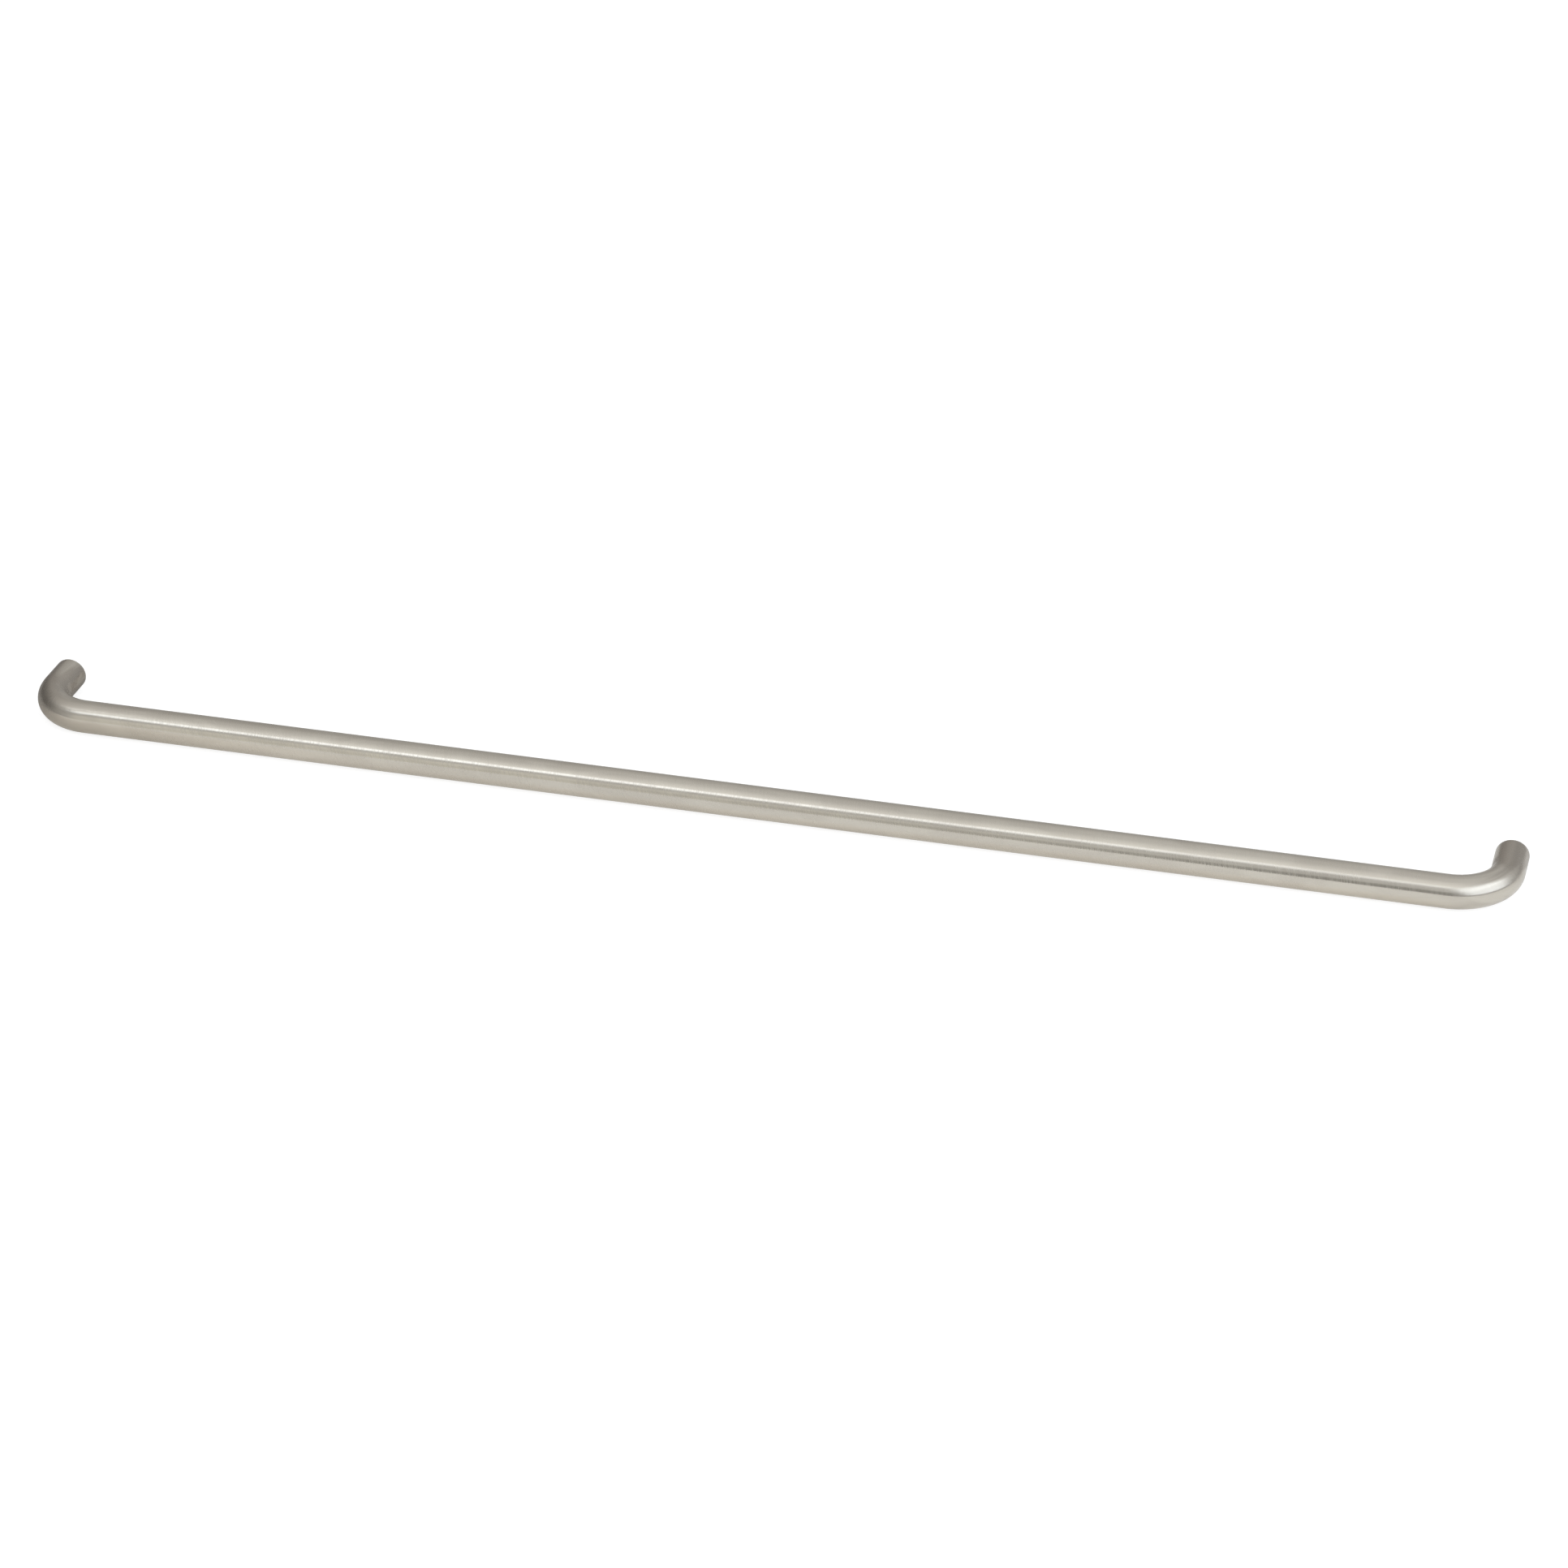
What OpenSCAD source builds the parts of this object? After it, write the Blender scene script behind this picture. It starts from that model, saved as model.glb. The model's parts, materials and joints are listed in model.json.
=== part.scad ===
// D-bar cabinet pull: one round bar, bent square at both ends, with a blind tapped hole in each foot.
//
// X runs along the grip, Z is up, and Y points into the door or drawer front.
// The origin lies on the mounting face, midway between the two screw holes.

/* [Bar] */
// Diameter of the round bar
bar_d = 10; // [8:0.5:14]
// Distance between the centres of the two screw holes
hole_spacing = 448; // [96:32:640]
// Distance from the mounting face to the front of the grip
projection = 31; // [30:0.5:50]
// Radius of each bend, measured to the bar's centre line
bend_r = 15.5; // [14:0.5:18]

/* [Feet] */
// Width of the chamfer round the edge of each foot
foot_chamfer = 0.4; // [0.1:0.1:1]

/* [Screw holes] */
// Nominal diameter of the machine screw
screw_d = 4; // [3:0.5:5]
// Pitch of the screw's thread
thread_pitch = 0.7; // [0.5:0.1:0.8]
// Depth of full thread, measured from the mounting face
thread_depth = 9; // [6:0.5:10]
// Depth of plain drilled hole past the last full thread
drill_runout = 1.5; // [0.5:0.5:2]
// Included angle of the drill's point
drill_point_angle = 118; // [90:1:135]
// How far the countersink's rim stands outside the screw, all round
countersink_margin = 0.25; // [0.1:0.05:0.4]
// Included angle of the countersink
countersink_angle = 90; // [60:5:120]

/* [Hidden] */
$fn = 96;

bar_r = bar_d / 2;
// The bar's centre line stands this far in front of the mounting face
centre_out = projection - bar_r;
// Straight lengths of bar that the bends leave
leg_length = centre_out - bend_r;
grip_length = hole_spacing - 2 * bend_r;

// A tap cuts its thread in a hole that is drilled one pitch smaller than the screw
tap_drill_r = (screw_d - thread_pitch) / 2;
drill_depth = thread_depth + drill_runout;
drill_point = tap_drill_r / tan(drill_point_angle / 2);
countersink_r = screw_d / 2 + countersink_margin;
countersink_depth = (countersink_r - tap_drill_r) / tan(countersink_angle / 2);

// Colour of satin stainless steel under warm light
satin_steel = [0.75, 0.735, 0.69];

// Places its children at each screw hole, with the grip towards their own +X
module at_each_foot() {
    for (turn = [0, 180])
        rotate([0, turn, 0])
            translate([-hole_spacing / 2, 0, 0])
                children();
}

// Spins a half section round the screw hole's axis, with the mounting face at 0
module turned() {
    rotate([-90, 0, 0])
        rotate_extrude()
            children();
}

// Straight leg, from its chamfered foot to the start of the bend
module leg() {
    turned()
        polygon([
            [0, 0],
            [bar_r - foot_chamfer, 0],
            [bar_r, -foot_chamfer],
            [bar_r, -leg_length],
            [0, -leg_length]
        ]);
}

// Quarter turn of bar that leads from the leg to the grip
module bend() {
    translate([bend_r, -leg_length, 0])
        rotate([0, 0, 180])
            rotate_extrude(angle = 90)
                translate([bend_r, 0])
                    circle(r = bar_r);
}

// Straight bar between the two bends
module grip() {
    translate([-grip_length / 2, -centre_out, 0])
        rotate([0, 90, 0])
            cylinder(r = bar_r, h = grip_length);
}

// Tapped hole: countersunk mouth, tap drill and drill point
module screw_hole() {
    turned()
        polygon([
            [0, 0],
            [countersink_r, 0],
            [tap_drill_r, -countersink_depth],
            [tap_drill_r, -drill_depth],
            [0, -drill_depth - drill_point]
        ]);
}

module pull() {
    color(satin_steel)
        difference() {
            union() {
                grip();
                at_each_foot() {
                    bend();
                    leg();
                }
            }
            at_each_foot() screw_hole();
        }
}

pull();
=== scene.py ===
# %% [markdown]
# # A D-bar cabinet pull in satin stainless steel
# The real object is one round bar, 10 mm thick, bent square at both ends. Its two feet are faced flat
# and tapped, so that screws can hold it from behind the door. In this lesson the bar is drawn out of a
# single circle with extrude and spin, the screw threads are cut by moving vertices, and the brushed
# finish comes from grain that follows the bar round its bends.

# %% Load the measured part
import json
import math

import bpy
import numpy as np
from mathutils import Matrix, Vector


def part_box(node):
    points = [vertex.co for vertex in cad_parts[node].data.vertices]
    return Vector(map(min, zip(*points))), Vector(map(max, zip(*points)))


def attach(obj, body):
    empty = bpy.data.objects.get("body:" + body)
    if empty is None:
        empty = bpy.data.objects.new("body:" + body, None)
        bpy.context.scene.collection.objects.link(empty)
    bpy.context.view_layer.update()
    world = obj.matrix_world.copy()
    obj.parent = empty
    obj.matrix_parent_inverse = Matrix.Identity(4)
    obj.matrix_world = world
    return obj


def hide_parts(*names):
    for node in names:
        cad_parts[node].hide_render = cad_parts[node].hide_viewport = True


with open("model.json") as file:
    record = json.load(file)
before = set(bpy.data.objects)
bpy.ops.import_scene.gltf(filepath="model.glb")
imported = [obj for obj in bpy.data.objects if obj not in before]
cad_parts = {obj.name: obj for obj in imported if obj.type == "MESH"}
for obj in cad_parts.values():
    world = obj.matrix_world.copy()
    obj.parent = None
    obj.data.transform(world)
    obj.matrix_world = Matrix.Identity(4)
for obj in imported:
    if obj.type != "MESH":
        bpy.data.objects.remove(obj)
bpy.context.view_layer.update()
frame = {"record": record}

# %% [markdown]
# ## Sizes
# The measured part already knows the pull's sizes, so they are read from it and not typed again. The
# spacing of the screw holes and the radius of their drilled walls are in its record. The bar's thickness
# is what the box measures beyond that spacing. Only what a box can't tell is written here: the bend's
# radius, the small edge break on the feet, and the make of the screw thread.

# %% Read the sizes
MM = 0.001
holes = next(m for m in frame["record"]["mounts"] if m["name"] == "screw_holes")
hole_spacing = holes["dims"]["spacing_x_mm"] * MM
drill_r = holes["dims"]["hole_r_mm"] * MM

low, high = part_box("pull")
bar_r = (high.x - low.x - hole_spacing) / 2
centre_out = -low.y - bar_r
bend_r = 15.5 * MM
foot_chamfer = 0.4 * MM
screw_r = 2 * MM
thread_pitch = 0.7 * MM
thread_depth = 9 * MM
drill_runout = 1.5 * MM
drill_point_angle = math.radians(118)
countersink_r = 2.25 * MM

leg_length = centre_out - bend_r
leg_x = -hole_spacing / 2
drill_depth = thread_depth + drill_runout
drill_point = drill_r / math.tan(drill_point_angle / 2)
countersink_depth = countersink_r - drill_r
print(f"bar {2 * bar_r / MM:.1f} mm, holes {hole_spacing / MM:.0f} mm apart, legs {leg_length / MM:.1f} mm")

# %% [markdown]
# ## The camera first
# The photograph was taken from a little right of the middle and about 29 degrees above the table, with a
# long lens, so the far end of the bar is hardly smaller than the near one. The camera is set before any
# modelling, because every later choice is judged through it. Its place was found by fitting the bar's
# outline, and its three axes are written as a turn of azimuth, elevation and roll.

# %% Place the camera
camera_at = Vector((309.16, -1135.21, 638.35)) * MM
camera_azimuth = math.radians(14.954)
camera_elevation = math.radians(28.789)
camera_roll = math.radians(-0.093)
camera_lens = 102.25
film_width = 36
nearest_seen = 0.01

bpy.ops.object.select_all(action="DESELECT")
bpy.ops.object.camera_add(location=camera_at)
camera = bpy.context.object
camera.name = "camera"
camera.data.lens = camera_lens
camera.data.sensor_width = film_width
turn = Matrix.Rotation(camera_azimuth, 3, "Z") @ Matrix.Rotation(math.pi / 2 - camera_elevation, 3, "X")
camera.rotation_euler = (turn @ Matrix.Rotation(camera_roll, 3, "Z")).to_euler()
camera.data.clip_start = nearest_seen
bpy.context.scene.camera = camera
print("camera at", [round(c / MM) for c in camera.location], "mm")

# %% [markdown]
# ## One end of the bar, drawn from a circle
# A bent bar could be a curve with a round bevel, but a curve gives no say over its rings, and its ends
# would need a boolean for the holes. Here one circle is extruded along the way a hand would follow the
# surface: up the leg, over the broken edge, in across the foot, and down the screw hole to the drill's
# point. Every face is then a neat four-sided one in a ring round the bar, which satin metal needs: its
# long reflections show the smallest uneven spot.
#
# A helper extrudes the selected ring to a new depth and radius, which is all that turned shapes need.

# %% Start with a circle where the leg leaves the bend
AROUND = 64
SAME_SIZE = 1e-9


def measure_ring(obj):
    """Radius, and place along Y, of the ring of vertices that is selected in edit mode."""
    obj.update_from_editmode()
    ring = [v.co for v in obj.data.vertices if v.select]
    centre = sum(ring, Vector()) / len(ring)
    return (ring[0] - centre).length, centre.y


def extrude_ring(obj, y, radius):
    """Extrudes the selected ring round the leg's axis to a place along Y, and sizes it."""
    radius_now, y_now = measure_ring(obj)
    bpy.ops.mesh.extrude_edges_move(TRANSFORM_OT_translate={"value": (0, y - y_now, 0)})
    scale = radius / radius_now
    if abs(scale - 1) > SAME_SIZE:
        bpy.ops.transform.resize(value=(scale, 1, scale), center_override=(leg_x, y, 0))


bpy.ops.object.select_all(action="DESELECT")
bpy.ops.mesh.primitive_circle_add(
    vertices=AROUND, radius=bar_r, location=(leg_x, -leg_length, 0), rotation=(math.pi / 2, 0, 0)
)
end = bpy.context.object
end.name = "pull_end"
bpy.ops.object.transform_apply(location=True, rotation=True, scale=True)
bpy.ops.object.mode_set(mode="EDIT")
bpy.ops.mesh.select_mode(type="EDGE")
bpy.ops.mesh.select_all(action="SELECT")
print("first ring:", measure_ring(end))

# %% [markdown]
# The leg goes up to its foot in a few even steps. The foot's sharp corner is broken by a chamfer, as a
# lathe tool or a belt does it, and the flat face runs in to the countersink of the screw hole.

# %% Draw the leg, the foot and the countersink
LEG_STEPS = 5
FACE_STEPS = 4

for step in range(1, LEG_STEPS + 1):
    extrude_ring(end, -leg_length + (leg_length - foot_chamfer) * step / LEG_STEPS, bar_r)
face_r = bar_r - foot_chamfer
extrude_ring(end, 0, face_r)
for step in range(1, FACE_STEPS + 1):
    extrude_ring(end, 0, face_r + (countersink_r - face_r) * step / FACE_STEPS)
extrude_ring(end, -countersink_depth, drill_r)

# %% [markdown]
# ## The screw thread
# The countersink leads into the tapped hole. Its wall is drawn as many fine rings, a twelfth of the
# thread's pitch apart, so that there are vertices to move. Past the thread comes a short plain stretch,
# because a tap can't cut to the bottom, and then the cone that the drill's point leaves. A screw
# modifier could draw the thread too, but its ends would have to be welded to the wall by hand.

# %% Draw the wall of the hole and its bottom
RINGS_PER_PITCH = 12
POINT_STEPS = 3

wall_length = thread_depth - countersink_depth
wall_rings = round(wall_length / thread_pitch * RINGS_PER_PITCH)
for ring in range(1, wall_rings + 1):
    extrude_ring(end, -countersink_depth - wall_length * ring / wall_rings, drill_r)
extrude_ring(end, -drill_depth, drill_r)
for step in range(1, POINT_STEPS):
    share = step / POINT_STEPS
    extrude_ring(end, -drill_depth - drill_point * share, drill_r * (1 - share))
bpy.ops.mesh.extrude_edges_move(TRANSFORM_OT_translate={"value": (0, -drill_point / POINT_STEPS, 0)})
bpy.ops.mesh.merge(type="CENTER")
bpy.ops.object.mode_set(mode="OBJECT")
print("rings in the tapped wall:", wall_rings, "vertices so far:", len(end.data.vertices))

# %% [markdown]
# A thread is a groove that sinks by one pitch in each turn. For a vertex on the wall, its depth in
# pitches less its share of a turn tells where it lies across the groove, so one formula shapes them
# all: a flat crest on the drilled wall, 30 degree flanks, and a narrow flat root at the screw's radius.
# The groove fades in at the mouth and out at the end, as a tap's tapered teeth leave it. It is
# right-handed. The wall only ever moves outwards, into the metal, so a screw still has its room.

# %% Cut the thread by moving the wall
CREST_SHARE = 0.25
ROOT_SHARE = 0.125
FADE_PITCHES = 0.8
ON_WALL = 1.001


def thread_groove(depth, angle):
    """Depth of the groove, from 0 to 1, at a depth in the hole and an angle round it."""
    across = (depth / thread_pitch - angle / math.tau) % 1
    half_pitch = 0.5
    from_root = abs(across - half_pitch)
    flank = half_pitch - CREST_SHARE / 2 - ROOT_SHARE / 2
    groove = 1 - max(0, from_root - ROOT_SHARE / 2) / flank
    fade_in = (depth - countersink_depth) / (FADE_PITCHES * thread_pitch)
    fade_out = (thread_depth - depth) / (FADE_PITCHES * thread_pitch)
    return min(1, max(0, groove)) * min(1, max(0, min(fade_in, fade_out)))


cut = 0
for vertex in end.data.vertices:
    away = Vector((vertex.co.x - leg_x, 0, vertex.co.z))
    depth = -vertex.co.y
    on_wall = away.length < drill_r * ON_WALL
    if on_wall and countersink_depth < depth < thread_depth:
        groove = thread_groove(depth, math.atan2(away.x, away.z))
        vertex.co += away.normalized() * (screw_r - drill_r) * groove
        cut += groove > 0
print("vertices moved into the thread:", cut)

# %% [markdown]
# ## Break the sharp edges
# No real edge is perfectly sharp. The three edges that a light can catch, the two of the chamfer and
# the countersink's mouth, are rounded with a small bevel. It is smaller than the chamfer itself, so the
# chamfer's flat still shows as the thin line that rims each foot.

# %% Bevel the rims
RIM_ROUNDING = 0.09 * MM
RIM_SEGMENTS = 3
TOUCHING = 0.001 * MM


def select_edges(obj, wanted):
    """Selects the edges whose two ends both pass a test on their place, and leaves edit mode on."""
    bpy.ops.object.mode_set(mode="EDIT")
    bpy.ops.mesh.select_mode(type="EDGE")
    bpy.ops.mesh.select_all(action="DESELECT")
    bpy.ops.object.mode_set(mode="OBJECT")
    for edge in obj.data.edges:
        edge.select = all(wanted(obj.data.vertices[v].co) for v in edge.vertices)
    bpy.ops.object.mode_set(mode="EDIT")


def on_rim(place):
    """Whether a vertex lies on an edge of the chamfer or on the countersink's mouth."""
    radius = math.hypot(place.x - leg_x, place.z)
    on_face = abs(place.y) < TOUCHING and min(abs(radius - countersink_r), abs(radius - face_r)) < TOUCHING
    on_side = abs(place.y + foot_chamfer) < TOUCHING and abs(radius - bar_r) < TOUCHING
    return on_face or on_side


select_edges(end, on_rim)
bpy.ops.mesh.bevel(offset=RIM_ROUNDING, segments=RIM_SEGMENTS, affect="EDGES")
bpy.ops.object.mode_set(mode="OBJECT")
print("vertices with rounded rims:", len(end.data.vertices))

# %% [markdown]
# ## The bend
# The bend is the first ring again, spun a quarter turn about the middle of the bending tool's radius.
# Spin leaves the rings evenly spaced along the arc, so the reflections run round it without a kink.

# %% Spin the bend
BEND_STEPS = 28

bend_middle = (leg_x + bend_r, -leg_length, 0)


def on_first_ring(place):
    """Whether a vertex lies on the circle that the drawing began with."""
    radius = math.hypot(place.x - leg_x, place.z)
    return abs(place.y + leg_length) < TOUCHING and abs(radius - bar_r) < TOUCHING


select_edges(end, on_first_ring)
bpy.ops.mesh.spin(steps=BEND_STEPS, angle=-math.pi / 2, center=bend_middle, axis=(0, 0, 1))
end.update_from_editmode()
spun = [v.co for v in end.data.vertices if v.select]
bpy.ops.object.mode_set(mode="OBJECT")
print("the bend ends at", sum(spun, Vector()) / len(spun))

# %% [markdown]
# ## The other end, and the grip between them
# A mirrored copy would turn the right-hand thread into a left-hand one, which no screw would fit. So the
# copy is turned half round about Y, which takes the left foot to the right and keeps the thread's hand.
# The two ends are then one mesh with two open rings that face each other, and a bridge draws the grip.

# %% Copy the end and bridge the grip
GRIP_CUTS = 51
SMOOTH_UP_TO = math.radians(50)

bpy.ops.object.select_all(action="DESELECT")
end.select_set(True)
bpy.context.view_layer.objects.active = end
bpy.ops.object.duplicate()
other_end = bpy.context.object
other_end.data.transform(Matrix.Rotation(math.pi, 4, "Y"))
end.select_set(True)
bpy.context.view_layer.objects.active = end
bpy.ops.object.join()
pull = bpy.context.object
pull.name = "satin_pull"

grip_end = abs(leg_x) - bend_r


def on_grip_ring(place):
    """Whether a vertex lies on one of the two open rings where the bends end."""
    return abs(abs(place.x) - grip_end) < TOUCHING and place.y < -leg_length - bar_r


select_edges(pull, on_grip_ring)
bpy.ops.mesh.bridge_edge_loops(number_cuts=GRIP_CUTS, interpolation="LINEAR")
bpy.ops.mesh.select_all(action="SELECT")
bpy.ops.mesh.remove_doubles(threshold=TOUCHING)
bpy.ops.mesh.normals_make_consistent(inside=False)
bpy.ops.mesh.select_all(action="DESELECT")
bpy.ops.mesh.select_mode(type="EDGE")
bpy.ops.mesh.select_non_manifold(extend=False)
pull.update_from_editmode()
open_edges = sum(e.select for e in pull.data.edges)
bpy.ops.mesh.select_all(action="DESELECT")
bpy.ops.object.mode_set(mode="OBJECT")
bpy.ops.object.shade_smooth_by_angle(angle=SMOOTH_UP_TO)
print("faces:", len(pull.data.polygons), "open edges:", open_edges)

# %% [markdown]
# ## Follow the surface
# The brushing goes round the bar, over its bends too, so the finish needs to know how far along the bar
# each point lies and where it is round it. That is the path the circle was extruded along. Each vertex
# gets it as an attribute of three numbers: the path's length from the middle of the grip, and the point
# round the bar, as a pair with no seam. It is as if the bar had been pulled straight before brushing.

# %% Measure along and around
half_arc = bend_r * math.pi / 2
path_to_leg = grip_end + half_arc
path_to_rim = path_to_leg + leg_length - foot_chamfer
path_to_hole = path_to_rim + bar_r - countersink_r
JUST_INSIDE = 0.999


def follow(place):
    """Path length from the middle of the grip, and how far out and up the point is from the bar's axis."""
    side = 1 if place.x > 0 else -1
    across = abs(place.x) - grip_end
    out = -place.y - leg_length
    outward = abs(place.x) + leg_x
    radius = math.hypot(outward, place.z)
    in_drill_point = radius < drill_r and out < 2 * drill_point and across > bend_r / 2
    if out <= 0 or in_drill_point:
        if radius < countersink_r * JUST_INSIDE:
            path = path_to_hole - place.y
        elif place.y > -foot_chamfer:
            path = path_to_rim + bar_r - radius
        else:
            path = path_to_leg - out
    elif across > 0:
        path = grip_end + bend_r * math.atan2(across, out)
        outward = math.hypot(across, out) - bend_r
    else:
        path = abs(place.x)
        outward = -place.y - centre_out
    return side * path, outward, place.z


places = [follow(v.co) for v in pull.data.vertices]
along = pull.data.attributes.new("along_and_around", "FLOAT_VECTOR", "POINT")
for item, (path, outward, up) in zip(along.data, places):
    reach = math.hypot(outward, up) or 1
    item.vector = (path, outward / reach * bar_r, up / reach * bar_r)
print(f"path from the middle of the grip to the foot's rim: {path_to_rim / MM:.1f} mm")

# %% [markdown]
# ## Unwrap in strips
# A brushed metal shader stretches its highlights along one direction of a UV map, so the map has to run
# true to the bar: U along the path, V round it. The bar is fifteen times as long as it is round, so it
# is cut into strips that are stacked under each other, which fill the square well. The last row holds
# the two feet and their holes. Each face takes the strip that its middle lies in.

# %% Lay out the map
MAP_NAME = "OFBake"
STRIPS = 10
SIDE_MARGIN = 0.004
ROW_MARGIN = 0.016
SEAM_ROOM = 1 + 1 / AROUND
HALF_TURN = 0.5
HALF_ROW = 0.5
AT_TIP = 0.001 * MM


def corners_on_strip(face):
    """Path and share of a turn of each corner of a face, kept together where it crosses the seam."""
    paths = [places[v][0] for v in face.vertices]
    shares = [math.atan2(places[v][2], places[v][1]) / math.tau + HALF_TURN for v in face.vertices]
    at_tip = [math.hypot(places[v][1], places[v][2]) < AT_TIP for v in face.vertices]
    real = [s for s, tip in zip(shares, at_tip) if not tip]
    shares = [sum(real) / len(real) if tip else s for s, tip in zip(shares, at_tip)]
    if max(real) - min(real) > HALF_TURN:
        shares = [s + 1 if s < HALF_TURN else s for s in shares]
        tip_share = (sum(real) + sum(1 for s in real if s < HALF_TURN)) / len(real)
        shares = [tip_share if tip else s for s, tip in zip(shares, at_tip)]
    return paths, shares


def strip_of(middle):
    """Row and half row of the map for a face whose middle lies at this path length."""
    if abs(middle) > path_to_rim:
        return STRIPS, HALF_ROW if middle > 0 else 0
    return min(STRIPS - 1, int((middle + path_to_rim) / (2 * path_to_rim) * STRIPS)), 0


# %% [markdown]
# Each row is then stretched to the square's width. A little room is left at its sides, and above and
# below it, so that rows don't bleed into each other when the look is baked to an image.

# %% Unwrap the pull
def lay_out_strips(mesh, name):
    """Makes a UV map with U along the path and V round the bar, in stacked strips."""
    layer = mesh.uv_layers.new(name=name)
    corners = [corners_on_strip(face) for face in mesh.polygons]
    strips = [strip_of(sum(paths) / len(paths)) for paths, _ in corners]
    reach = {}
    for strip, (paths, _) in zip(strips, corners):
        low_end, high_end = reach.get(strip, (paths[0], paths[0]))
        reach[strip] = min(low_end, *paths), max(high_end, *paths)
    for face, strip, (paths, shares) in zip(mesh.polygons, strips, corners):
        row, left = strip
        low_end, high_end = reach[strip]
        width = HALF_ROW if row == STRIPS else 1
        for corner, path, share in zip(face.loop_indices, paths, shares):
            along_strip = (path - low_end) / (high_end - low_end)
            u = left + width * (SIDE_MARGIN + along_strip * (1 - 2 * SIDE_MARGIN))
            v = row + ROW_MARGIN + share / SEAM_ROOM * (1 - 2 * ROW_MARGIN)
            layer.data[corner].uv = (u, v / (STRIPS + 1))
    return layer


strips_map = lay_out_strips(pull.data, MAP_NAME)
uv = np.empty(2 * len(pull.data.loops))
strips_map.data.foreach_get("uv", uv)
print("map:", strips_map.name, "from", uv.min().round(4), "to", uv.max().round(4))

# %% [markdown]
# ## Three finishes, three material slots
# The bar is brushed by a belt that runs round it, each foot is faced on a lathe, and the hole is cut by
# a tap. The faces are handed to three materials by how far along the path they lie.

# %% Hand out the faces
SATIN, FACED, TAPPED = range(3)
counts = [0, 0, 0]
for face in pull.data.polygons:
    middle = sum(abs(places[v][0]) for v in face.vertices) / len(face.vertices)
    if middle < path_to_rim:
        face.material_index = SATIN
    elif middle < path_to_hole:
        face.material_index = FACED
    else:
        face.material_index = TAPPED
    counts[face.material_index] += 1
print("faces brushed, faced and tapped:", counts)

# %% [markdown]
# ## Node groups that the finishes share
# All three finishes are made by something hard dragged over the metal, so they share three effects, each
# a node group with its own settings in each material. They read the attribute, so they have no seam and
# run round the bends. A few helpers keep the node trees short to write: one makes an empty group, one
# adds a Math node, and one adds a Map Range node that eases a value from one span into another.


# %% Helpers for node trees
def new_group(name, inputs, outputs):
    """Makes an empty shader node group with named sockets and returns it with its two end nodes."""
    group = bpy.data.node_groups.new(name, "ShaderNodeTree")
    for socket, (kind, value) in inputs.items():
        made = group.interface.new_socket(socket, in_out="INPUT", socket_type=kind)
        if value is not None:
            made.default_value = value
    for socket in outputs:
        group.interface.new_socket(socket, in_out="OUTPUT", socket_type="NodeSocketFloat")
    return group, group.nodes.new("NodeGroupInput"), group.nodes.new("NodeGroupOutput")


def math_node(tree, operation, first, second=0):
    """Adds a Math node. Its two values are sockets or numbers."""
    node = tree.nodes.new("ShaderNodeMath")
    node.operation = operation
    for socket, value in zip(node.inputs, (first, second)):
        if isinstance(value, (int, float)):
            socket.default_value = value
        else:
            tree.links.new(value, socket)
    return node.outputs[0]


def smooth_range(tree, value, span, result=(0, 1)):
    """Adds a Map Range node that eases a value from one span into another."""
    node = tree.nodes.new("ShaderNodeMapRange")
    node.interpolation_type = "SMOOTHSTEP"
    tree.links.new(value, node.inputs["Value"])
    node.inputs["From Min"].default_value, node.inputs["From Max"].default_value = span
    node.inputs["To Min"].default_value, node.inputs["To Max"].default_value = result
    return node.outputs[0]


def split_vector(tree, vector):
    """Adds a Separate XYZ node for a vector socket and returns its X, Y and Z."""
    node = tree.nodes.new("ShaderNodeSeparateXYZ")
    tree.links.new(vector, node.inputs[0])
    return tuple(node.outputs)


def join_vector(tree, parts):
    """Adds a Combine XYZ node from three sockets."""
    node = tree.nodes.new("ShaderNodeCombineXYZ")
    for part, socket in zip(parts, node.inputs):
        tree.links.new(part, socket)
    return node.outputs[0]


def mix_colours(tree, factor, first, second):
    """Adds a Mix node for two colours, each a value or a socket."""
    node = tree.nodes.new("ShaderNodeMix")
    node.data_type = "RGBA"
    tree.links.new(factor, node.inputs["Factor"])
    for socket, colour in (("A", first), ("B", second)):
        if isinstance(colour, tuple):
            node.inputs[socket].default_value = colour
        else:
            tree.links.new(colour, node.inputs[socket])
    return node.outputs["Result"]


# %% [markdown]
# ## Grain
# The brushing's grain is noise that is squeezed along the path and drawn out round the bar, so it shows
# as fine lines across the grip. In the photograph the lines lean a little, because the belt moved along
# the bar while it ran round it. So the place round the bar shifts the place along it by a small share.

# %% The grain group
GRAIN_DETAIL = 1.2
GRAIN_ROUGHNESS = 0.6

grain_group, ins, outs = new_group(
    "brush_grain",
    {
        "Vector": ("NodeSocketVector", None),
        "Lines per metre": ("NodeSocketFloat", 2000),
        "Stretch": ("NodeSocketFloat", 10),
        "Lean": ("NodeSocketFloat", 0),
    },
    ["Lines"],
)
along_bar, out_of_bar, up_bar = split_vector(grain_group, ins.outputs["Vector"])
shift = math_node(grain_group, "MULTIPLY", up_bar, ins.outputs["Lean"])
leaned = join_vector(grain_group, (math_node(grain_group, "ADD", along_bar, shift), out_of_bar, up_bar))
along_scale = ins.outputs["Lines per metre"]
around_scale = math_node(grain_group, "DIVIDE", along_scale, ins.outputs["Stretch"])
squeezed = grain_group.nodes.new("ShaderNodeVectorMath")
squeezed.operation = "MULTIPLY"
grain_group.links.new(leaned, squeezed.inputs[0])
scales = join_vector(grain_group, (along_scale, around_scale, around_scale))
grain_group.links.new(scales, squeezed.inputs[1])
noise = grain_group.nodes.new("ShaderNodeTexNoise")
noise.inputs["Scale"].default_value = 1
noise.inputs["Detail"].default_value = GRAIN_DETAIL
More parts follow.
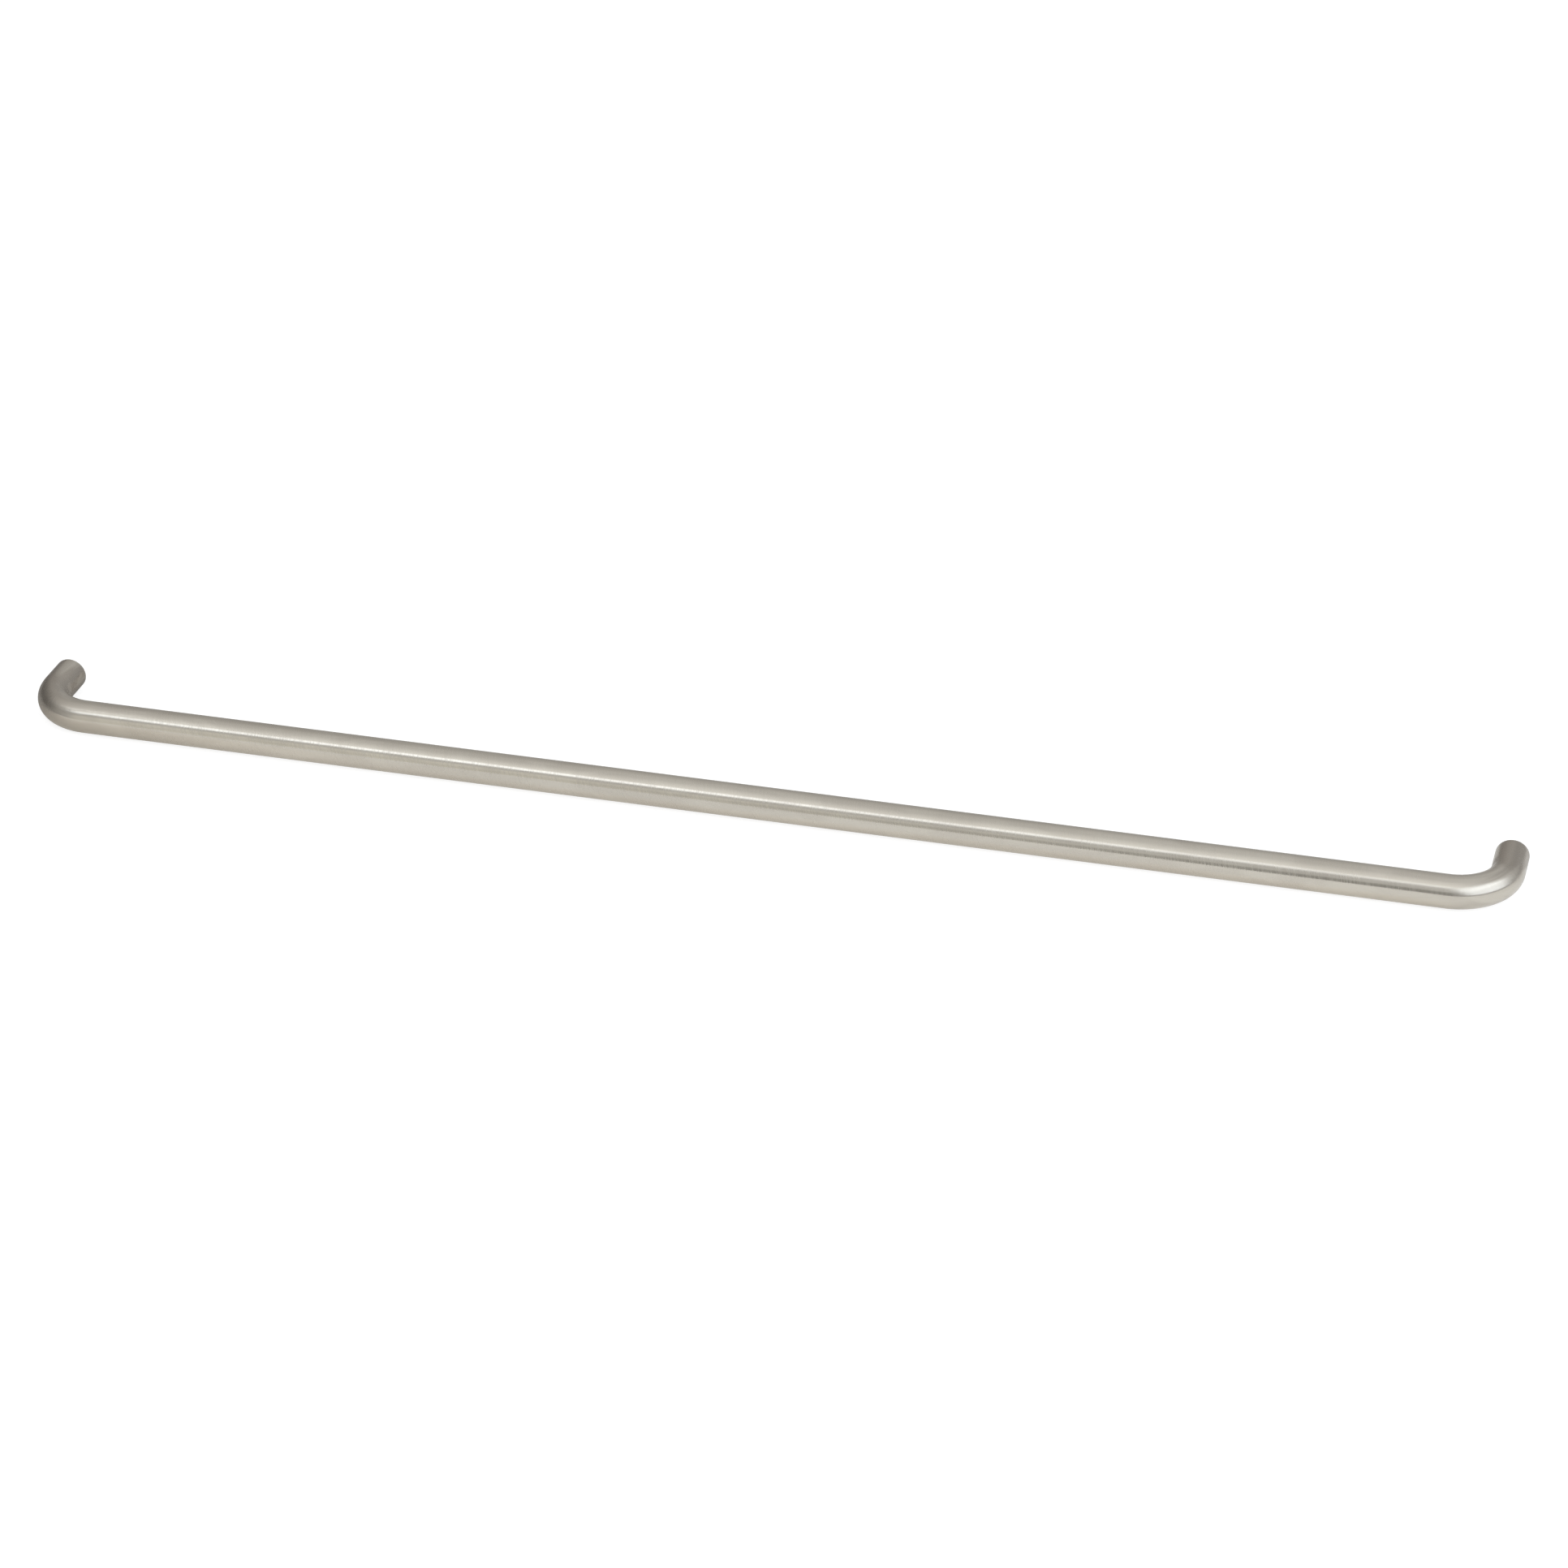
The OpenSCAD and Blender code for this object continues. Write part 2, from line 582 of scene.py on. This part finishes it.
noise.inputs["Roughness"].default_value = GRAIN_ROUGHNESS
grain_group.links.new(squeezed.outputs[0], noise.inputs["Vector"])
grain_group.links.new(noise.outputs[0], outs.inputs["Lines"])
print("group:", grain_group.name)

# %% [markdown]
# ## Mottle
# Bends can't be brushed by a machine, so they are polished by hand, which leaves soft blotches of uneven
# tone. They are noise too, drawn out a little along the bar, the way a hand works.

# %% The mottle group
MOTTLE_DETAIL = 3
MOTTLE_SWIRL = 0.6

mottle_group, ins, outs = new_group(
    "polish_mottle",
    {
        "Vector": ("NodeSocketVector", None),
        "Spots per metre": ("NodeSocketFloat", 160),
        "Stretch": ("NodeSocketFloat", 3.2),
    },
    ["Mottle"],
)
along_bar, out_of_bar, up_bar = split_vector(mottle_group, ins.outputs["Vector"])
shorter = math_node(mottle_group, "DIVIDE", along_bar, ins.outputs["Stretch"])
noise = mottle_group.nodes.new("ShaderNodeTexNoise")
noise.inputs["Detail"].default_value = MOTTLE_DETAIL
noise.inputs["Distortion"].default_value = MOTTLE_SWIRL
mottle_group.links.new(join_vector(mottle_group, (shorter, out_of_bar, up_bar)), noise.inputs["Vector"])
mottle_group.links.new(ins.outputs["Spots per metre"], noise.inputs["Scale"])
mottle_group.links.new(noise.outputs[0], outs.inputs["Mottle"])
print("group:", mottle_group.name)

# %% [markdown]
# ## Rim wear
# Edges are rubbed bright when a pull is handled and packed. The path tells how far a point is from the
# rim, so the wear is strongest there and gone within a fraction of a millimetre. Noise breaks it up.

# %% The rim wear group
WEAR_SPOTS = 900
WEAR_DETAIL = 2
WEAR_BREAKS = (0.3, 0.6)
WEAR_REACH = 0.6 * MM

wear_group, ins, outs = new_group(
    "rim_wear",
    {
        "Vector": ("NodeSocketVector", None),
        "Rim at": ("NodeSocketFloat", path_to_rim),
        "Reach": ("NodeSocketFloat", WEAR_REACH),
    },
    ["Wear"],
)
path, _, _ = split_vector(wear_group, ins.outputs["Vector"])
past_rim = math_node(wear_group, "SUBTRACT", math_node(wear_group, "ABSOLUTE", path), ins.outputs["Rim at"])
share = math_node(wear_group, "DIVIDE", math_node(wear_group, "ABSOLUTE", past_rim), ins.outputs["Reach"])
closeness = math_node(wear_group, "MAXIMUM", math_node(wear_group, "SUBTRACT", 1, share), 0)
noise = wear_group.nodes.new("ShaderNodeTexNoise")
noise.inputs["Scale"].default_value = WEAR_SPOTS
noise.inputs["Detail"].default_value = WEAR_DETAIL
wear_group.links.new(ins.outputs["Vector"], noise.inputs["Vector"])
broken = smooth_range(wear_group, noise.outputs[0], WEAR_BREAKS)
wear_group.links.new(math_node(wear_group, "MULTIPLY", closeness, broken), outs.inputs["Wear"])
print("group:", wear_group.name)

# %% [markdown]
# ## The metal
# Stainless steel is a metal through and through, so its colour is the colour of its reflections, a
# slightly warm grey. Brushing leaves fine grooves round the bar. Light scatters widely across grooves
# and little along them, so each highlight is smeared along the bar and stays crisp across it. That is
# what Anisotropic does, with the Tangent taken from the strips' U.
#
# Each grain line is a little rougher or smoother than the next, and that is what shows as streaks in the
# photograph: they are clear where a reflection changes from light to dark, and fade where it is even.
# Bump alone gave a few hard scratches instead, so the roughness carries the grain and the bump is slight.

# %% Colours and strengths of the finish
STEEL = (0.548, 0.5175, 0.456, 1)
STEEL_WARM = (0.385, 0.351, 0.307, 1)
STEEL_RUBBED = (0.64, 0.61, 0.55, 1)
RUBBED_SMOOTHER = 0.05
WORKED_TONE = 0.8
LEG_TONE = 0.12
LEG_TONE_STARTS = 12 * MM
MOTTLE_SPAN = (0.4, 0.6)
UNEVEN_POLISH = 0.035
GRAIN_SPAN = (0.3, 0.7)
GRAIN_FADES = (grip_end - 50 * MM, grip_end + 20 * MM)
GRAIN_ON_BENDS = 0.45


# %% [markdown]
# The mottle grows from the grip towards the legs, in the colour and in the roughness. The grain fades
# over about the same stretch, and the legs are a shade darker than the grip.

# %% A helper that makes one finish of the steel
def place_group(tree, group, vector, values):
    """Places a node group, links a vector to it, sets its named inputs and returns its output."""
    node = tree.nodes.new("ShaderNodeGroup")
    node.node_tree = group
    tree.links.new(vector, node.inputs["Vector"])
    for socket, value in values.items():
        node.inputs[socket].default_value = value
    return node.outputs[0]


def steel_finish(name, grain, spots, rim, roughness, swing, tone, bump_depth, anisotropic):
    """A steel material with grain, mottle and rim wear in its colour, roughness and bump."""
    material = bpy.data.materials.new(name)
    material.use_nodes = True
    tree = material.node_tree
    shader = tree.nodes["Principled BSDF"]
    shader.inputs["Metallic"].default_value = 1
    shader.inputs["Anisotropic"].default_value = anisotropic

    attribute = tree.nodes.new("ShaderNodeAttribute")
    attribute.attribute_name = "along_and_around"
    place = attribute.outputs["Vector"]
    lines = place_group(tree, grain_group, place, grain)
    mottle = place_group(tree, mottle_group, place, {"Spots per metre": spots})
    wear = place_group(tree, wear_group, place, {"Rim at": rim})
    path = math_node(tree, "ABSOLUTE", split_vector(tree, place)[0])

    worked = smooth_range(tree, path, (grip_end, path_to_leg), (tone, tone + WORKED_TONE))
    shade = math_node(tree, "MULTIPLY", smooth_range(tree, mottle, MOTTLE_SPAN), worked)
    on_leg = smooth_range(tree, path, (path_to_leg - LEG_TONE_STARTS, path_to_leg), (0, LEG_TONE))
    shade = math_node(tree, "ADD", shade, on_leg)
    colour = mix_colours(tree, shade, STEEL, STEEL_WARM)
    colour = mix_colours(tree, wear, colour, STEEL_RUBBED)
    tree.links.new(colour, shader.inputs["Base Color"])

    grain_left = smooth_range(tree, path, GRAIN_FADES, (1, GRAIN_ON_BENDS))
    streaks = math_node(tree, "MULTIPLY", smooth_range(tree, lines, GRAIN_SPAN, (-swing, swing)), grain_left)
    rough = math_node(tree, "ADD", streaks, roughness)
    uneven = smooth_range(tree, mottle, MOTTLE_SPAN, (-UNEVEN_POLISH, UNEVEN_POLISH))
    rough = math_node(tree, "ADD", rough, math_node(tree, "MULTIPLY", uneven, worked))
    rough = math_node(tree, "SUBTRACT", rough, math_node(tree, "MULTIPLY", wear, RUBBED_SMOOTHER))
    tree.links.new(rough, shader.inputs["Roughness"])

    bump = tree.nodes.new("ShaderNodeBump")
    bump.inputs["Distance"].default_value = bump_depth
    tree.links.new(math_node(tree, "MULTIPLY", lines, grain_left), bump.inputs["Height"])
    tree.links.new(bump.outputs["Normal"], shader.inputs["Normal"])
    tangent = tree.nodes.new("ShaderNodeTangent")
    tangent.direction_type = "UV_MAP"
    tangent.uv_map = MAP_NAME
    tree.links.new(tangent.outputs["Tangent"], shader.inputs["Tangent"])
    return material


# %% [markdown]
# The bar gets the satin finish. The foot's lathe marks are finer and run truer, and the tap leaves the
# roughest surface of the three.

# %% Make the three finishes
satin = steel_finish(
    "satin_steel",
    grain={"Lines per metre": 2000, "Stretch": 10, "Lean": 0.42},
    spots=160,
    rim=path_to_rim,
    roughness=0.234,
    swing=0.052,
    tone=0.2,
    bump_depth=0.02 * MM,
    anisotropic=0.78,
)
faced = steel_finish(
    "faced_foot",
    grain={"Lines per metre": 3000, "Stretch": 60, "Lean": 0.42},
    spots=400,
    rim=path_to_rim,
    roughness=0.2,
    swing=0.05,
    tone=0.3,
    bump_depth=0.03 * MM,
    anisotropic=0.7,
)
tapped = steel_finish(
    "cut_thread",
    grain={"Lines per metre": 5000, "Stretch": 30, "Lean": 0.42},
    spots=600,
    rim=path_to_hole,
    roughness=0.25,
    swing=0.06,
    tone=0.5,
    bump_depth=0.01 * MM,
    anisotropic=0.5,
)
for material in (satin, faced, tapped):
    pull.data.materials.append(material)
print("finishes:", [m.name for m in pull.data.materials])

# %% [markdown]
# ## The studio
# The pull lies flat on a white table. Its metal shows little of its own colour and much of what stands
# round it, so the lamps are shaped and placed like the softboxes and dark screens of a product studio.
# An area lamp has hard edges in a reflection. A sheet with its own material can fade at each edge, which
# is what makes a highlight end softly. A sheet may glow, hide a share of what is behind it, or both.


# %% A helper that hangs a sheet of light or shade
WHITE = (1, 1, 1, 1)


def hang_sheet(name, place, facing, size, fades, glow=0, veil=0, colour=WHITE):
    """A sheet that faces the pull from a place, turned to an azimuth and tilted to an elevation.

    It adds its glow and hides a share, its veil, of what is behind. Both fade towards its left, right,
    low and high edges, and the fades are shares of its width and height."""
    left_fade, right_fade, low_fade, high_fade = fades
    azimuth, elevation = (math.radians(angle) for angle in facing)
    bpy.ops.object.select_all(action="DESELECT")
    bpy.ops.mesh.primitive_plane_add(size=1, location=place)
    sheet = bpy.context.object
    sheet.name = name
    sheet.scale = (*size, 1)
    sheet.rotation_euler = (math.pi / 2 - elevation, 0, azimuth)
    sheet.visible_camera = False

    material = bpy.data.materials.new(name)
    material.use_nodes = True
    tree = material.node_tree
    tree.nodes.remove(tree.nodes["Principled BSDF"])
    uv_map = tree.nodes.new("ShaderNodeUVMap")
    uv_map.uv_map = "UVMap"
    across, up, _ = split_vector(tree, uv_map.outputs["UV"])
    left = smooth_range(tree, across, (0, left_fade))
    right = smooth_range(tree, across, (1, 1 - right_fade))
    low_edge = smooth_range(tree, up, (0, low_fade))
    high_edge = smooth_range(tree, up, (1, 1 - high_fade))
    sides = math_node(tree, "MULTIPLY", left, right)
    ends = math_node(tree, "MULTIPLY", low_edge, high_edge)
    mask = math_node(tree, "MULTIPLY", sides, ends)
    emission = tree.nodes.new("ShaderNodeEmission")
    emission.inputs["Color"].default_value = colour
    tree.links.new(math_node(tree, "MULTIPLY", mask, glow), emission.inputs["Strength"])
    through = tree.nodes.new("ShaderNodeBsdfTransparent")
    tree.links.new(smooth_range(tree, mask, (0, 1), (1, 1 - veil)), through.inputs["Color"])
    both = tree.nodes.new("ShaderNodeAddShader")
    tree.links.new(emission.outputs[0], both.inputs[0])
    tree.links.new(through.outputs[0], both.inputs[1])
    tree.links.new(both.outputs[0], tree.nodes["Material Output"].inputs["Surface"])
    sheet.data.materials.append(material)
    return sheet


# %% [markdown]
# ## What hangs round the pull
# The key softbox makes the long highlight on the grip, and its corner carries it round the left bend.
# The big right softbox makes the glow on the right bend. The top softbox lifts the upper side, and two
# warm cards fill the front on the left. Each place is in metres from the middle of the feet, and each
# facing is an azimuth and an elevation in degrees.

# %% Hang the softboxes
KEY_WHITE = (0.92, 1, 1.12, 1)
CARD_WARM = (1.04, 1, 0.84, 1)
SOFTBOXES = {
    "key_softbox": {
        "place": (-0.37, -0.69, 0.914),
        "facing": (0, 54),
        "size": (1.5, 0.44),
        "fades": (0.3, 0.6, 0.2, 0.45),
        "glow": 1.17,
        "colour": KEY_WHITE,
    },
    "key_corner": {
        "place": (-0.77, -0.29, 0.91),
        "facing": (-64, 57),
        "size": (0.4, 0.34),
        "fades": (0.4, 0.4, 0.4, 0.4),
        "glow": 0.55,
        "colour": KEY_WHITE,
    },
    "top_softbox": {
        "place": (-0.3, -0.3, 1.25),
        "facing": (0, 76),
        "size": (2.4, 1.5),
        "fades": (0.25, 0.25, 0.12, 0.8),
        "glow": 0.35,
    },
    "right_softbox": {
        "place": (1.18, -0.4, 0.76),
        "facing": (62, 35),
        "size": (2.4, 1.49),
        "fades": (0.15, 0.3, 0.03, 0.36),
        "glow": 1.2,
        "colour": KEY_WHITE,
    },
    "fill_card": {
        "place": (-0.58, -1.25, 0.42),
        "facing": (-25, 17),
        "size": (1.3, 0.9),
        "fades": (0.3, 0.3, 0.02, 0.35),
        "glow": 0.32,
        "colour": CARD_WARM,
    },
    "low_card": {
        "place": (-0.5, -1.2, 0.09),
        "facing": (-22, 4),
        "size": (1.3, 0.18),
        "fades": (0.3, 0.3, 0.02, 0.5),
        "glow": 0.08,
        "colour": CARD_WARM,
    },
}
for name, settings in SOFTBOXES.items():
    hang_sheet(name, **settings)
print("softboxes and cards:", len(SOFTBOXES))

# %% [markdown]
# The screens hold light back, like the black flags of a studio. They give the dark band under the long
# highlight, the dark outer side of the left bend, the shaded legs, and the thin dark line that the far
# edge of the table draws on the right.

# %% Hang the screens
SCREENS = {
    "dark_screen": {
        "place": (0.16, -1.4, 0.33),
        "facing": (6, 14),
        "size": (0.8, 0.66),
        "fades": (0.3, 0.3, 0.02, 0.5),
        "veil": 0.48,
    },
    "left_screen": {
        "place": (-0.74, 0.14, 0.25),
        "facing": (-112, 18),
        "size": (1.15, 0.6),
        "fades": (0.4, 0.4, 0.05, 0.5),
        "veil": 0.52,
    },
    "table_rail": {
        "place": (1.32, -0.5, 0.035),
        "facing": (62, 1),
        "size": (3.2, 0.07),
        "fades": (0.1, 0.1, 0.05, 0.3),
        "veil": 0.35,
    },
    "right_back_screen": {
        "place": (0.41, 0.41, 0.38),
        "facing": (140, 38),
        "size": (0.6, 0.55),
        "fades": (0.4, 0.4, 0.3, 0.4),
        "veil": 0.19,
    },
    "left_back_screen": {
        "place": (-0.41, 0.41, 0.38),
        "facing": (-140, 38),
        "size": (0.6, 0.55),
        "fades": (0.4, 0.4, 0.3, 0.4),
        "veil": 0.1,
    },
    "left_front_screen": {
        "place": (-0.57, -0.35, 0.37),
        "facing": (-45, 38),
        "size": (0.6, 0.55),
        "fades": (0.4, 0.4, 0.3, 0.4),
        "veil": 0.19,
    },
}
for name, settings in SCREENS.items():
    hang_sheet(name, **settings)
print("screens:", len(SCREENS))

# %% [markdown]
# ## The room
# The rest of the room is the world: pale walls that brighten towards the ceiling, a little dimmer and
# warmer towards the back on the left, where the studio has no lamp. The steel mirrors it like that, and
# the camera sees it as plain white paper. Light Path tells the two kinds of ray apart. A helper gets
# both, for the room and for the table.

# %% A helper that tells rays apart
def kinds_of_ray(tree):
    """Adds a Light Path node and returns whether a ray is seen directly, and whether it is a mirrored one."""
    kinds = tree.nodes.new("ShaderNodeLightPath")
    direct = math_node(tree, "MAXIMUM", kinds.outputs["Is Camera Ray"], kinds.outputs["Is Transmission Ray"])
    return direct, kinds.outputs["Is Glossy Ray"]


# %% The world
ROOM_LOW = 0.55
ROOM_HIGH = 0.85
DIM_SIDE = (-0.9, 0.44, 0)
DIM_STARTS = 0.2
DIM_SHARE = 0.15
DIM_WARM = (1, 0.965, 0.93, 1)

world = bpy.data.worlds.new("studio_room")
world.use_nodes = True
tree = world.node_tree
background = tree.nodes["Background"]
direction = tree.nodes.new("ShaderNodeTexCoord").outputs["Generated"]
brightness = smooth_range(tree, split_vector(tree, direction)[2], (0, 1), (ROOM_LOW, ROOM_HIGH))
towards = tree.nodes.new("ShaderNodeVectorMath")
towards.operation = "DOT_PRODUCT"
towards.inputs[1].default_value = DIM_SIDE
tree.links.new(direction, towards.inputs[0])
dim = smooth_range(tree, towards.outputs["Value"], (DIM_STARTS, 1))
brightness = math_node(tree, "SUBTRACT", brightness, math_node(tree, "MULTIPLY", dim, DIM_SHARE))
seen, _ = kinds_of_ray(tree)
brightness = math_node(tree, "MAXIMUM", brightness, seen)
dim = math_node(tree, "MULTIPLY", dim, math_node(tree, "SUBTRACT", 1, seen))
tree.links.new(brightness, background.inputs["Strength"])
tree.links.new(mix_colours(tree, dim, WHITE, DIM_WARM), background.inputs["Color"])
bpy.context.scene.world = world
print("world:", world.name)

# %% [markdown]
# ## The table
# The table is a big plane under the pull. It is a pale grey that takes the pull's soft shadow, and for
# the camera it glows by as much as it lacks to be white.

# %% Lay the table
FLOOR_SIZE = 8
TABLE_WHITE = 0.3
TABLE_ROUGHNESS = 0.9
TABLE_SPECULAR = 0.1
TABLE_LIFT = 0.83

bpy.ops.object.select_all(action="DESELECT")
bpy.ops.mesh.primitive_plane_add(size=FLOOR_SIZE, location=(0, 0, -bar_r))
floor = bpy.context.object
floor.name = "white_table"
table_white = bpy.data.materials.new("white_table")
table_white.use_nodes = True
tree = table_white.node_tree
shader = tree.nodes["Principled BSDF"]
shader.inputs["Base Color"].default_value = (TABLE_WHITE, TABLE_WHITE, TABLE_WHITE, 1)
shader.inputs["Roughness"].default_value = TABLE_ROUGHNESS
shader.inputs["Specular IOR Level"].default_value = TABLE_SPECULAR
floor.data.materials.append(table_white)
print("table at", round(-bar_r / MM, 1), "mm")

# %% [markdown]
# The metal mirrors the table too, and there a real table isn't evenly bright. It is brightest in front,
# where the softboxes light it, darker towards the left end, and dark close under the bar and behind it.
# More lamps could light it so, but each would also show in the metal. So for mirrored rays the table's
# own glow, its sheen, is painted light and shade that changes with the place on the table: a painted
# pool of light in front and on the right, and painted shadow under and behind the bar and on the left.

# %% What the metal mirrors of the table: painted light and shade
# The sheen values are painted light and shade for mirrored rays only. They are bright where lamps would light
# the table and dark where the bar's shadow would fall.
SHEEN_BEHIND = 0.3
SHEEN_LEFT = 0.1
SHEEN_FRONT = 0.72
SHEEN_RIGHT = 0.06
FRONT_SPAN = (-21.5 * MM, -34.5 * MM)
ENDS_SPAN = (200 * MM, 222 * MM)
BACK_SPAN = (-25 * MM, 5 * MM)
BACK_SHARE = 0.66
SLANT = 2
LIT_SPAN = (-250 * MM, -70 * MM)
RIGHT_SPAN = (-100 * MM, 200 * MM)

along_table, into_table, _ = split_vector(tree, tree.nodes.new("ShaderNodeTexCoord").outputs["Object"])
in_front = smooth_range(tree, into_table, FRONT_SPAN)
past_ends = smooth_range(tree, math_node(tree, "ABSOLUTE", along_table), ENDS_SPAN)
not_far_back = smooth_range(tree, into_table, BACK_SPAN, (1, BACK_SHARE))
beside = math_node(tree, "MULTIPLY", past_ends, not_far_back)
open_table = math_node(tree, "MAXIMUM", in_front, beside)
slant = math_node(tree, "SUBTRACT", along_table, math_node(tree, "MULTIPLY", into_table, SLANT))
lit = smooth_range(tree, slant, LIT_SPAN, (SHEEN_LEFT, SHEEN_FRONT))
lit = math_node(tree, "ADD", lit, smooth_range(tree, along_table, RIGHT_SPAN, (0, SHEEN_RIGHT)))
sheen = tree.nodes.new("ShaderNodeMix")
sheen.inputs["A"].default_value = SHEEN_BEHIND
tree.links.new(lit, sheen.inputs["B"])
tree.links.new(open_table, sheen.inputs["Factor"])
seen, mirrored = kinds_of_ray(tree)
glow_seen = math_node(tree, "MULTIPLY", seen, TABLE_LIFT)
glow_mirrored = math_node(tree, "MULTIPLY", mirrored, sheen.outputs["Result"])
tree.links.new(math_node(tree, "ADD", glow_seen, glow_mirrored), shader.inputs["Emission Strength"])
print("sheen of the table: from", SHEEN_LEFT, "to", SHEEN_FRONT + SHEEN_RIGHT)

# %% [markdown]
# Where the table is dim it is lit by light that has come off the warm steel and off other things, so what
# the metal mirrors there is warmer: on the left, and close in front of the bar. This warm bounce light is
# painted into the table's mirrored glow.

# %% The warm tone of the dim places
SHEEN_WARM = (1, 0.93, 0.84, 1)
WARM_SPAN = (50 * MM, -200 * MM)
NEAR_BAR_SPAN = (-38 * MM, -30 * MM)
NEAR_BAR_WARMTH = 0.6

warm = smooth_range(tree, slant, WARM_SPAN)
near_bar = smooth_range(tree, into_table, NEAR_BAR_SPAN, (0, NEAR_BAR_WARMTH))
near_bar = math_node(tree, "MULTIPLY", near_bar, math_node(tree, "SUBTRACT", 1, past_ends))
warm = math_node(tree, "MAXIMUM", warm, near_bar)
warm = math_node(tree, "MULTIPLY", warm, mirrored)
tree.links.new(mix_colours(tree, warm, WHITE, SHEEN_WARM), shader.inputs["Emission Color"])
print("warm tone:", SHEEN_WARM)

# %% [markdown]
# ## Hand the piece over
# The drawn pull rides on the part's one body and stands in for its plain CAD solid.

# %% Finish
bpy.context.scene.view_settings.view_transform = "Standard"
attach(pull, "root")
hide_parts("pull")
